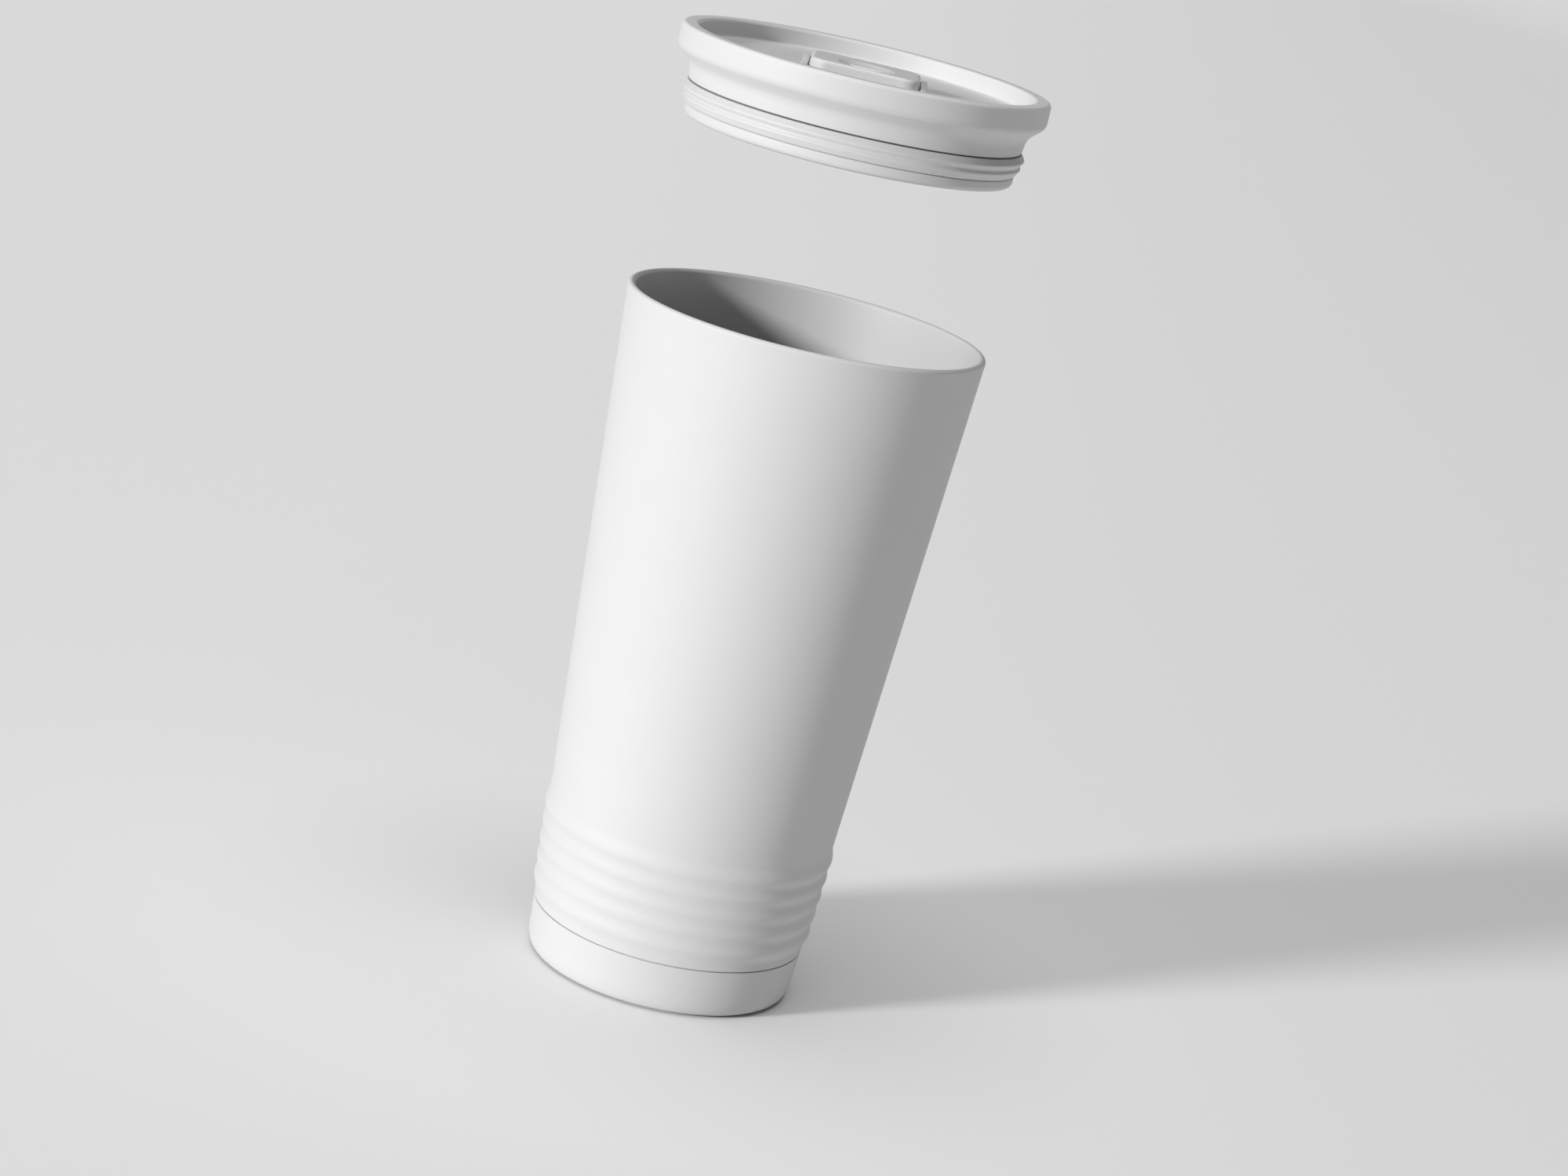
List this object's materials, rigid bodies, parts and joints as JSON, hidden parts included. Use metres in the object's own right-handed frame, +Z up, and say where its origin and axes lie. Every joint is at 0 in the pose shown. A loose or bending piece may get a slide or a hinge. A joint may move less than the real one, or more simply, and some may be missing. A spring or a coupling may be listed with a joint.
{
  "type": "insulated drinks tumbler",
  "caption": "Tapered double-walled drinks tumbler with rolled grip ribs, a closed base and a push-in lid that has a soft gasket and a sliding sip closure.",
  "frame": {"origin": "centre of the underside of the base, on the surface that the tumbler stands on", "axes": "+Z up along the tumbler's axis through the mouth and the lid; the sip opening is on the -Y side of the lid"},
  "size_m": [0.089, 0.089, 0.2312],
  "materials": {
    "powder_coat": "matte",
    "liner_coat": "satin",
    "bare_steel": "brushed",
    "seal_glass": "gloss",
    "getter_metal": "sintered",
    "pad_silicone": "matte",
    "lid_plastic": "fine matte",
    "gasket_silicone": "satin",
    "slider_plastic": "satin",
    "magnet_plate": "nickel plated"
  },
  "bodies": {
    "tumbler": {"outer_shell": "powder_coat", "inner_liner": "liner_coat", "bottom_plate": "bare_steel", "vacuum_seal": "seal_glass", "getter": "getter_metal", "base_cap": "powder_coat", "base_pad": "pad_silicone"},
    "lid": {"lid_cap": "lid_plastic", "lid_plug": "lid_plastic", "lid_gasket": "gasket_silicone", "deck_magnets": "magnet_plate"},
    "slider": {"sip_slider": "slider_plastic", "slider_magnets": "magnet_plate"}
  },
  "joints": [
    {"name": "lid_lift", "type": "slide", "parent": "tumbler", "child": "lid", "axis": [0, 0, 1], "range_m": [-0.055, 0]},
    {"name": "slider_slide", "type": "slide", "parent": "lid", "child": "slider", "axis": [0, 1, 0], "range_m": [-0.016, 0]}
  ]
}
